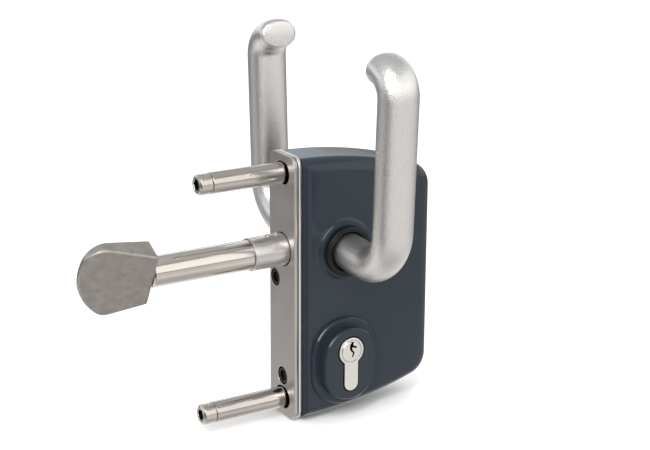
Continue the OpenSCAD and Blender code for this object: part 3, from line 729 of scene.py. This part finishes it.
class LOCKBOX_OT_plates(bpy.types.Operator):
    """Builds the two edge plates with their slots and holes"""

    bl_idname = "lock_box.plates"
    bl_label = "Edge plates"

    def execute(self, context):
        bevel = sizes()["plate_bevel"]
        for name, front, edge in (("face_plate", 0, "brushed_plate"), ("back_plate", SEAM, "plate_edge")):
            low, high = node_box(name)
            bm = bmesh.new()
            self.plate(bm, self.holes(name), low.x + front, high.x - SEAM, bevel, front > 0)
            add_piece(name, "brushed", bm, "case", "brushed_plate", "dark_screw", edge)
        return {"FINISHED"}

    @staticmethod
    def holes(name):
        """The holes of a plate as middle and half sizes."""
        size, slot_z = PLATE_HOLES[name], PIN_PITCH / 2
        found = [((0, HANDLE_Z), size["shaft"]), ((0, slot_z), size["slot"]), ((0, -slot_z), size["slot"])]
        for screw in ("cylinder_screw", "plate_screw"):
            low, high = node_box(screw)
            middle = (low + high) / 2
            found.append(((middle.y, middle.z), size[screw]))
        return found

    @staticmethod
    def plate(bm, holes, x0, x1, bevel, covered):
        """A plate with broken edges: painted shade on the hole walls and, where another plate covers it,
        painted shade on the front.
        """
        half = ((PLATE_HIGH.y - PLATE_LOW.y) / 2, (PLATE_HIGH.z - PLATE_LOW.z) / 2)
        outlines = [((0, 0), half, PLATE_CORNER, -1)] + [(mid, reach, reach[1], 1) for mid, reach in holes]
        corner = 0.35
        levels = [(x0, 1.0), (x0 + bevel * corner, corner), (x0 + bevel, 0.0),
                  (x1 - bevel, 0.0), (x1 - bevel * corner, corner), (x1, 1.0)]
        first, last = [], []
        for centre, extent, radius, sign in outlines:
            rings = []
            for x, inset in levels:
                points = round_rect(centre, extent, radius, sign * inset * bevel)
                rings.append(add_ring(bm, [(x, y, z) for y, z in points]))
            for level, (a, b) in enumerate(zip(rings, rings[1:])):
                for face in bridge(bm, a, b):
                    # Hole walls behind the front bevel take painted shade; the outer walls take the edge
                    # finish
                    face.material_index = 2 if sign < 0 else int(level > 1)
            first.append(rings[0])
            last.append(rings[-1])
        # Where another plate covers this one, its front takes painted shade
        for face in fill(bm, first):
            face.material_index = int(covered)
        fill(bm, last)


class LOCKBOX_OT_handles(bpy.types.Operator):
    """Builds the two bent lever handles"""

    bl_idname = "lock_box.handles"
    bl_label = "Lever handles"

    def execute(self, context):
        size = sizes()
        for name, side in (("handle_front", -1), ("handle_rear", 1)):
            bm = bmesh.new()
            self.bar(bm, size, side)
            add_piece(name, "bar", bm, "handle", "satin_handle", sharp=BAR_SHARP_ANGLE)
        return {"FINISHED"}

    @staticmethod
    def path(size):
        """Stations along the bar from its spigot: place out and up, heading, flatness, inset."""
        neck_steps, bend_steps, grip_steps, tip_steps, end_steps = 10, 40, 30, 36, 16
        bend, tip = size["bend_radius"], size["tip_radius"]
        turn = math.pi / 2 - GRIP_LEAN
        start = BUSH_HIGH.y + NECK_GAP
        bend_out = size["grip_reach"] - bend * math.sin(turn)
        shoulder = size["neck_diameter"] / 2 - HANDLE_SPIGOT_R
        rows = [(start - HANDLE_SPIGOT_LENGTH, 0.0, 0.0, 0.0, shoulder), (start, 0.0, 0.0, 0.0, shoulder)]
        for t in shares(neck_steps):
            rows.append((start + (bend_out - start) * t, -NECK_DROP * ease(t), 0.0, NECK_FLATNESS * t, 0.0))
        for t in shares(bend_steps):
            flat = NECK_FLATNESS + (1 - NECK_FLATNESS) * ease(t)
            a = turn * t
            rows.append((bend_out + bend * math.sin(a), bend * (1 - math.cos(a)) - NECK_DROP, a, flat, 0.0))
        foot = (bend_out + bend * math.sin(turn), bend * (1 - math.cos(turn)) - NECK_DROP)
        run = (size["grip_rise"] - foot[1] - tip * (1 + math.cos(turn))) / math.sin(turn)
        for t in shares(grip_steps):
            gone = run * t
            rows.append((foot[0] + gone * math.cos(turn), foot[1] + gone * math.sin(turn), turn, 1.0, 0.0))
        top = (foot[0] + run * math.cos(turn), foot[1] + run * math.sin(turn))
        mid = (top[0] - tip * math.sin(turn), top[1] + tip * math.cos(turn))
        for i in range(tip_steps + 1):
            a = turn + TIP_TURN * i / tip_steps
            rows.append((mid[0] + tip * math.sin(a), mid[1] - tip * math.cos(a), a, 1.0, 0.0))
        out, up, heading = rows[-1][:3]
        half = size["bar_thickness"] / 2
        for i in range(1, end_steps + 1):
            inset = half * i / end_steps
            rise = TIP_EDGE * math.sqrt(max(0.0, 1 - max(0.0, 1 - inset / TIP_EDGE) ** 2))
            rise += TIP_CROWN * (1 - ((half - inset) / half) ** 2)
            rows.append((out + rise * math.cos(heading), up + rise * math.sin(heading), heading, 1.0, inset))
        return rows

    def bar(self, bm, size, side):
        """A bar along the path, from a round neck to a flat grip with rounded sides."""
        neck = size["neck_diameter"] / 2
        rings = []
        for out, up, heading, flat, inset in self.path(size):
            wide = neck + (size["bar_width"] / 2 - neck) * flat - inset
            thick = max(neck + (size["bar_thickness"] / 2 - neck) * flat - inset, 0.0)
            bulge = 2 / (2 + BAR_FULLNESS * flat)
            ring = []
            for i in range(BAR_ROUND):
                a = 2 * math.pi * i / BAR_ROUND
                across = wide * math.copysign(abs(math.cos(a)) ** bulge, math.cos(a))
                lift = thick * math.copysign(abs(math.sin(a)) ** bulge, math.sin(a))
                ring.append((HANDLE_X + across, side * (out - lift * math.sin(heading)),
                             HANDLE_Z + up + lift * math.cos(heading)))
            rings.append(add_ring(bm, ring))
        for a, b in zip(rings, rings[1:]):
            bridge(bm, a, b)
        bm.faces.new(rings[0])


class LOCKBOX_OT_bushes(bpy.types.Operator):
    """Builds the black bushes round the handle necks"""

    bl_idname = "lock_box.bushes"
    bl_label = "Handle bushes"

    def execute(self, context):
        bm = bmesh.new()
        for side in (-1, 1):
            place = Matrix.Translation((HANDLE_X, 0, HANDLE_Z)) @ Matrix.Rotation(side * math.pi / 2, 4, "Z")
            lathe(bm, soften(BUSH_PROFILE, SOFT["bush"]), place, FINE_ROUND)
        add_piece("handle_bushes", "black", bm, "case", "black_bush")
        return {"FINISHED"}


class LOCKBOX_OT_bolt(bpy.types.Operator):
    """Builds the turning shaft, the bolt rod, the spade-shaped head and the grub screws"""

    bl_idname = "lock_box.bolt"
    bl_label = "Bolt"

    def execute(self, context):
        place = Matrix.Translation((0, 0, HANDLE_Z))
        bm = bmesh.new()
        lathe(bm, soften(self.shaft(), SOFT["shaft"]), place, FINE_ROUND)
        add_piece("bolt_shaft", "turned", bm, "bolt", "turned_steel")
        bm = bmesh.new()
        lathe(bm, soften(self.rod(), SOFT["rod"]), place, FINE_ROUND)
        add_piece("bolt_rod", "polished", bm, "bolt", "rod_polish")
        bm = bmesh.new()
        self.head(bm, sizes())
        add_piece("bolt_head", "cast", bm, "bolt", "head_casting")
        bm = bmesh.new()
        self.grub(bm, GRUB_LOW.x + GRUB_R)
        step = (GRUB_HIGH.x - GRUB_LOW.x - 2 * GRUB_R, 0, 0)
        add_pair("shaft_grub_screws", bm, step, "bolt", "rod_polish")
        return {"FINISHED"}

    @staticmethod
    def shaft():
        """Profile of the shaft: socket for the rod, collar, bearing seat with a ring groove, gear seat."""
        bottom, seat = SHAFT_LOW.x + SOCKET_DEPTH, SHAFT_R - SEAT_STEP
        return [(bottom, 0), (bottom, SOCKET_R), (SHAFT_LOW.x, SOCKET_R), (SHAFT_LOW.x, SHAFT_R),
                (COLLAR_END, SHAFT_R), (COLLAR_END, seat), (GROOVE_START, seat), (GROOVE_START, GROOVE_R),
                (GROOVE_END, GROOVE_R), (GROOVE_END, seat), (SEAT_END, seat), (SEAT_END, GEAR_SEAT_R),
                (SHAFT_HIGH.x, GEAR_SEAT_R), (SHAFT_HIGH.x, 0)]

    @staticmethod
    def rod():
        """Profile of the rod: tenon in the head, rod, seam at the shaft, spigot in the shaft's socket."""
        seam_r, spigot_r = ROD_R - ROD_SEAM_DEPTH, SOCKET_R - FIT_GAP
        return [(ROD_LOW.x, 0), (ROD_LOW.x, ROD_TENON_R), (HEAD_HIGH.x, ROD_TENON_R),
                (HEAD_HIGH.x, ROD_R - ROD_CHAMFER), (HEAD_HIGH.x + ROD_CHAMFER, ROD_R),
                (SHAFT_LOW.x - SEAM, ROD_R), (SHAFT_LOW.x - SEAM, seam_r), (SHAFT_LOW.x, seam_r),
                (SHAFT_LOW.x, spigot_r), (ROD_HIGH.x, spigot_r), (ROD_HIGH.x, 0)]

    @staticmethod
    def grub(bm, x):
        """A grub screw that stands up in the shaft, with a dimple in its top."""
        place = Matrix.Translation((x, 0, HANDLE_Z)) @ Matrix.Rotation(-math.pi / 2, 4, "Y")
        radius, top = GRUB_R - FIT_GAP, SHAFT_R + GRUB_PROUD
        floor = top - GRUB_DIMPLE_DEPTH
        profile = [(GRUB_FOOT, 0), (GRUB_FOOT, radius), (top - GRUB_CHAMFER, radius),
                   (top, GRUB_R - GRUB_CHAMFER), (top, GRUB_DIMPLE_R),
                   (floor, GRUB_DIMPLE_R - GRUB_DIMPLE_TAPER), (floor, 0)]
        lathe(bm, soften(profile, SOFT["grub"]), place, SMALL_ROUND)

    @staticmethod
    def head(bm, size):
        """The head as outlines that close in over each edge; u runs from the rod to the tip."""
        long = HEAD_HIGH.x - HEAD_LOW.x
        edge, edge_steps = size["head_edge"], 6
        thick, taper = size["head_thickness"], size["head_tip"] - size["head_thickness"]
        lean = Matrix.Translation((HEAD_HIGH.x, 0, HANDLE_Z)) @ Matrix.Rotation(HEAD_TURN, 4, "X")
        rounding = [math.pi / 2 * i / edge_steps for i in range(edge_steps + 1)]
        levels = [(edge * (1 - math.cos(a)), edge * (1 - math.sin(a))) for a in reversed(rounding)]
        levels.insert(0, (edge + HEAD_MARGIN, 0.0))
        rings = []
        for face in (-1, 1):
            for inset, less in levels if face < 0 else reversed(levels):
                points = []
                for u, w in head_outline(size, long, inset):
                    half = (thick + taper * u / long) / 2
                    points.append(lean @ Vector((-u, face * (half - less), w)))
                rings.append(add_ring(bm, points))
        for a, b in zip(rings, rings[1:]):
            bridge(bm, a, b)
        fill(bm, [rings[0]])
        fill(bm, [rings[-1]])


class LOCKBOX_OT_fixings(bpy.types.Operator):
    """Builds the two fixing pins and their end screws"""

    bl_idname = "lock_box.fixings"
    bl_label = "Fixing pins"

    def execute(self, context):
        place = Matrix.Translation((0, 0, PIN_LOW.z + PIN_R))
        step = (0, 0, PIN_PITCH)
        bm = bmesh.new()
        self.pin(bm, place)
        add_pair("fixing_pins", bm, step, "case", "pin_polish")
        bm = bmesh.new()
        self.end_screw(bm, place)
        add_pair("fixing_end_screws", bm, step, "case", "end_screw_finish", "dark_screw")
        return {"FINISHED"}

    @staticmethod
    def pin(bm, place):
        """A pin with a neck in the plates and a bore at each end."""
        inner, outer = PIN_HIGH.x - PIN_BORE_INNER, PIN_LOW.x + PIN_BORE_OUTER
        neck = PIN_R - PIN_NECK_STEP
        body = [(PIN_LOW.x, PIN_BORE_R), (PIN_LOW.x, PIN_R), (0, PIN_R), (0, neck), (PIN_HIGH.x, neck),
                (PIN_HIGH.x, PIN_BORE_R), (inner, PIN_BORE_R), (inner, 0)]
        bore = [(outer, 0), (outer, PIN_BORE_R), (PIN_LOW.x, PIN_BORE_R)]
        lathe(bm, soften(body, SOFT["pin"]) + bore, place)

    @staticmethod
    def end_screw(bm, place):
        """A screw with a rounded head and a hexagon socket, threaded into the pin's outer bore."""
        face_inset, shoulder, shoulder_inset, head_start = 1.3, 0.9, 0.1, 1.2
        joint, joint_inset = 0.5, 0.45
        thread = PIN_BORE_R - THREAD_GAP
        body = [(END_LOW.x, END_R - face_inset), (END_LOW.x + shoulder, END_R - shoulder_inset),
                (END_LOW.x + head_start, END_R), (PIN_LOW.x - joint, END_R), (PIN_LOW.x, END_R - joint_inset),
                (PIN_LOW.x, thread), (END_HIGH.x, thread), (END_HIGH.x, 0)]
        rings = lathe(bm, soften(body, SOFT["end_screw"]), place)

        def hexagon(x, radius):
            corners = [(math.cos(math.pi / 3 * i), math.sin(math.pi / 3 * i)) for i in range(7)]
            points = []
            for (y0, z0), (y1, z1) in zip(corners, corners[1:]):
                for t in shares(4):
                    y, z = y0 * (1 - t) + y1 * t, z0 * (1 - t) + z1 * t
                    points.append(place @ Vector((x, radius * y, radius * z)))
            return add_ring(bm, points)

        mouth = hexagon(END_LOW.x, HEX_R + HEX_FLARE)
        throat = hexagon(END_LOW.x + HEX_FLARE_DEPTH, HEX_R)
        floor = hexagon(END_LOW.x + HEX_DEPTH, HEX_R)
        fill(bm, [rings[0], mouth])
        bridge(bm, mouth, throat)
        # The socket's inner walls and floor take the dark finish: painted shade deep in the socket
        painted_shade = bm.faces.layers.int.new(PAINTED_SHADE_FACE)
        for face in bridge(bm, throat, floor) + [bm.faces.new(floor)]:
            face[painted_shade] = 1


class LOCKBOX_OT_cylinder(bpy.types.Operator):
    """Draws the ends of the key cylinder in from their holes and breaks their edges"""

    bl_idname = "lock_box.cylinder"
    bl_label = "Key cylinder"

    def execute(self, context):
        name, merge = "cylinder_body", 1e-3
        bm = bmesh.new()
        bm.from_mesh(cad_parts[name].data)
        bmesh.ops.scale(bm, vec=(1 / MM, 1 / MM, 1 / MM), verts=bm.verts)
        bmesh.ops.remove_doubles(bm, verts=bm.verts, dist=merge)
        rim = self.rim(bm, self.draw_in(bm, *node_box(name)))
        bmesh.ops.bevel(bm, geom=rim, offset=CYLINDER_BEVEL, segments=2, profile=0.5, affect="EDGES")
        bm.normal_update()
        flat = bm.faces.layers.int.new(FLAT)
        for face in bm.faces:
            face[flat] = int(abs(face.normal.y) > 0.999)
        add_piece(name, "nickel", bm, "case", "nickel_plate")
        return {"FINISHED"}

    @staticmethod
    def draw_in(bm, low, high):
        """Moves the outlines of both ends in by the gap, and gives their points."""
        near, nearly = 0.01, 0.1
        radius, stem = (high.x - low.x) / 2, CYLINDER_STEM_R
        axis = Vector(((low.x + high.x) / 2, 0, high.z - radius))
        waist, foot = axis.z - math.sqrt(radius ** 2 - stem ** 2), low.z + stem
        outline = set()
        for vert in bm.verts:
            z = axis.z if vert.co.z > waist + near else max(vert.co.z, foot)
            out = vert.co - Vector((axis.x, vert.co.y, z))
            at_end = abs(vert.co.y) > high.y - near
            at_wall = out.length > stem - nearly and (z < waist or out.length > radius - nearly)
            if at_end and at_wall:
                vert.co -= out.normalized() * CYLINDER_GAP
                outline.add(vert)
        return outline

    @staticmethod
    def rim(bm, outline):
        """The edges between an end and the wall."""
        found = []
        for edge in bm.edges:
            first, second = edge.verts
            at_wall = any(abs(face.normal.y) < 0.5 for face in edge.link_faces)
            if first in outline and second in outline and at_wall and first.co.y * second.co.y > 0:
                found.append(edge)
        return found


class LOCKBOX_OT_plugs(bpy.types.Operator):
    """Builds the two plugs of the key cylinder with their keyways"""

    bl_idname = "lock_box.plugs"
    bl_label = "Cylinder plugs"

    def execute(self, context):
        for name, side in (("plug_front", -1), ("plug_rear", 1)):
            low, high = node_box(name)
            reach, inner = max(abs(low.y), abs(high.y)), min(abs(low.y), abs(high.y))
            place = Matrix.Translation(((low.x + high.x) / 2, 0, (low.z + high.z) / 2))
            bm = bmesh.new()
            self.plug(bm, place @ Matrix.Scale(side, 4, (0, 1, 0)), reach, inner, (high.x - low.x) / 2)
            add_piece(name, "nickel", bm, "plug", "nickel_plate", "dark_screw")
        return {"FINISHED"}

    @staticmethod
    def plug(bm, place, reach, inner, radius):
        """A turned plug along Y whose face is cut by a keyway with wards."""
        turned = place @ Matrix.Rotation(math.pi / 2, 4, "Z")
        body = [(inner, 0), (inner, PLUG_TONGUE_R), (PLUG_SHOULDER, PLUG_TONGUE_R), (PLUG_SHOULDER, radius),
                (reach - PLUG_EDGE, radius), (reach, radius - PLUG_EDGE)]
        rim = lathe(bm, soften(body, SOFT["plug"]), turned)[-1]
        mouth = add_ring(bm, [place @ Vector((x, reach, z)) for x, z in KEYWAY])
        floor = add_ring(bm, [place @ Vector((x, reach - KEYWAY_DEPTH, z)) for x, z in KEYWAY])
        fill(bm, [rim, mouth])
        # The keyway's walls and floor take the dark finish: painted shade inside the keyway
        for face in bridge(bm, mouth, floor) + fill(bm, [floor]):
            face.material_index = 1


class LOCKBOX_OT_dressing(bpy.types.Operator):
    """Gives the solids that stay in view their finishes"""

    bl_idname = "lock_box.dressing"
    bl_label = "Other finishes"

    def execute(self, context):
        groups = {
            "box_powder_coat": ["housing"],
            "plain_bronze": ["thrust_washers", "shaft_bearing", "driver_pins"],
            "zinc_steel": [
                "handle_grub_screws", "spindle", "follower", "locking_disc", "bolt_gear", "gear_pin",
                "retaining_ring", "locking_slide", "cylinder_cam", "pin_springs", "fixing_bolts",
                "fixing_washers"],
            # Dark screws sunk in holes; their dark colour partly paints the shade of those holes
            "dark_screw": ["cylinder_screw", "plate_screw", "key_pins"],
        }
        for finish, nodes in groups.items():
            for name in nodes:
                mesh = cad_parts[name].data
                mesh.materials.clear()
                mesh.materials.append(finish_for(finish))
        return {"FINISHED"}


class LOCKBOX_OT_stage(bpy.types.Operator):
    """Sets up the floor, the light and the camera"""

    bl_idname = "lock_box.stage"
    bl_label = "Stage"

    def execute(self, context):
        scene = context.scene
        stage = scene.lock_box_stage
        self.floor(stage)
        self.tent()
        self.world(scene)
        for name, setting, place, size in LAMPS:
            self.lamp(name, place, size, getattr(stage, setting))
        self.camera(scene, stage)
        scene.view_settings.view_transform = "Standard"
        return {"FINISHED"}

    @staticmethod
    def floor(stage):
        """A pale floor that metal doesn't reflect."""
        mesh = bpy.data.meshes.new("floor")
        z = CAD_BOX[0].z - stage.floor_drop
        corners = [(x * FLOOR_REACH, y * FLOOR_REACH, z) for x, y in ((-1, -1), (1, -1), (1, 1), (-1, 1))]
        mesh.from_pydata(corners, [], [(0, 1, 2, 3)])
        sheet = NodeSheet("pale_floor")
        shade = sheet.add("ShaderNodeBsdfDiffuse", {"Color": FLOOR_SHADE})
        mesh.materials.append(sheet.close(shade.outputs["BSDF"]))
        floor = put("floor", mesh)
        floor.visible_glossy = False

    def tent(self):
        """A round tent of pale and dark cloth that only reflections show."""
        mesh = bpy.data.meshes.new("light_tent")
        bm = bmesh.new()
        bmesh.ops.create_uvsphere(bm, u_segments=64, v_segments=32, radius=TENT_R)
        bm.to_mesh(mesh)
        bm.free()
        mesh.materials.append(self.tent_cloth())
        tent = put("light_tent", mesh)
        tent.location = (0.0, 0.0, TENT_RISE)
        for ray in ("camera", "diffuse", "transmission", "volume_scatter", "shadow"):
            setattr(tent, "visible_" + ray, False)

    @staticmethod
    def tent_cloth():
        """Glowing cloth: levels by height, front and back, times levels by turn near the horizon."""
        sheet = NodeSheet("tent_cloth")
        split = sheet.add("ShaderNodeSeparateXYZ")
        sheet.join(sheet.coords(), split, "Vector")
        across, depth, rise = split.outputs
        height = sheet.math("DIVIDE", rise, TENT_R)
        up = sheet.math("MULTIPLY_ADD", height, 0.5, 0.5)
        back = sheet.math("MULTIPLY_ADD", depth, TENT_BLEND / TENT_R, 0.5)
        behind = sheet.math("MINIMUM", sheet.math("MAXIMUM", back, 0.0), 1.0)
        level = sheet.mix(behind, sheet.ramp(up, TENT_FRONT), sheet.ramp(up, TENT_BACK))
        turn = sheet.math("ARCTAN2", across, sheet.math("MULTIPLY", depth, -1.0))
        round_about = sheet.ramp(sheet.math("MULTIPLY_ADD", turn, 0.5 / math.pi, 0.5), TENT_TURNS)
        share = sheet.span(sheet.math("ABSOLUTE", height), low=1.0, high=0.0, start=0.35, end=0.75)
        glow = sheet.add("ShaderNodeEmission", {"Strength": TENT_GLOW})
        sheet.join(sheet.mix(share, level, round_about, "MULTIPLY"), glow, "Color")
        return sheet.close(glow.outputs["Emission"])

    @staticmethod
    def world(scene):
        """White surroundings, which reflections don't show."""
        world = scene.world or bpy.data.worlds.new("studio")
        scene.world = world
        world.use_nodes = True
        world.cycles_visibility.glossy = False
        tree = world.node_tree
        tree.nodes.clear()
        back = tree.nodes.new("ShaderNodeBackground")
        back.inputs["Color"].default_value = (1, 1, 1, 1)
        back.inputs["Strength"].default_value = 1.0
        out = tree.nodes.new("ShaderNodeOutputWorld")
        tree.links.new(back.outputs["Background"], out.inputs["Surface"])

    @staticmethod
    def lamp(name, place, size, energy):
        """A flat lamp that faces the lock, with its long side along STRIP_RUN."""
        data = bpy.data.lights.new(name, "AREA")
        data.shape = "RECTANGLE"
        data.size, data.size_y = size
        data.energy = energy
        lamp = put(name, data)
        lamp.visible_glossy = name == MIRRORED_LAMP
        away = (Vector(place) - LAMP_AIM).normalized()
        along = (STRIP_RUN - away * STRIP_RUN.dot(away)).normalized()
        turn = Matrix((along, away.cross(along), away)).transposed().to_4x4()
        lamp.matrix_world = Matrix.Translation(place) @ turn

    @staticmethod
    def camera(scene, stage):
        """The camera at the photograph's viewing angle."""
        data = bpy.data.cameras.new("photo_camera")
        data.lens = stage.lens
        data.sensor_width = SENSOR_WIDTH
        data.sensor_fit = "HORIZONTAL"
        camera = put("photo_camera", data)
        right, back = CAMERA_RIGHT.normalized(), CAMERA_BACK.normalized()
        up = back.cross(right).normalized()
        turn = Matrix((right, up, back)).transposed().to_4x4()
        camera.matrix_world = Matrix.Translation(CAMERA_PLACE) @ turn
        scene.camera = camera


class LOCKBOX_PT_panel(bpy.types.Panel):
    """Lists the pieces of the lock box and their settings"""

    bl_idname = "LOCKBOX_PT_panel"
    bl_label = "Lock box"
    bl_space_type = "VIEW_3D"
    bl_region_type = "UI"
    bl_category = "Lock box"

    def draw(self, context):
        layout = self.layout
        for group in (getattr(context.scene, name) for name in GROUPS):
            column = layout.column(align=True)
            for name in group.__annotations__:
                column.prop(group, name)
        for operator in OPERATORS:
            layout.operator(operator.bl_idname)


GROUPS = {
    "lock_box_sizes": LockBoxSizes, "lock_box_finishes": LockBoxFinishes, "lock_box_stage": LockBoxStage,
}
OPERATORS = (LOCKBOX_OT_stage, LOCKBOX_OT_plates, LOCKBOX_OT_handles, LOCKBOX_OT_bushes, LOCKBOX_OT_bolt,
             LOCKBOX_OT_fixings, LOCKBOX_OT_cylinder, LOCKBOX_OT_plugs, LOCKBOX_OT_dressing)
CLASSES = (*GROUPS.values(), *OPERATORS, LOCKBOX_PT_panel)


def register():
    """Adds the classes and the scene's settings."""
    for cls in CLASSES:
        bpy.utils.register_class(cls)
    for name, group in GROUPS.items():
        setattr(bpy.types.Scene, name, bpy.props.PointerProperty(type=group))


def unregister():
    """Takes the settings and the classes out again."""
    for name in reversed(GROUPS):
        delattr(bpy.types.Scene, name)
    for cls in reversed(CLASSES):
        bpy.utils.unregister_class(cls)


def main():
    """Builds the stage and every piece."""
    register()
    bpy.ops.lock_box.stage()
    bpy.ops.lock_box.plates()
    bpy.ops.lock_box.handles()
    bpy.ops.lock_box.bushes()
    bpy.ops.lock_box.bolt()
    bpy.ops.lock_box.fixings()
    bpy.ops.lock_box.cylinder()
    bpy.ops.lock_box.plugs()
    bpy.ops.lock_box.dressing()
    bpy.context.view_layer.update()


if __name__ == "__main__":
    main()
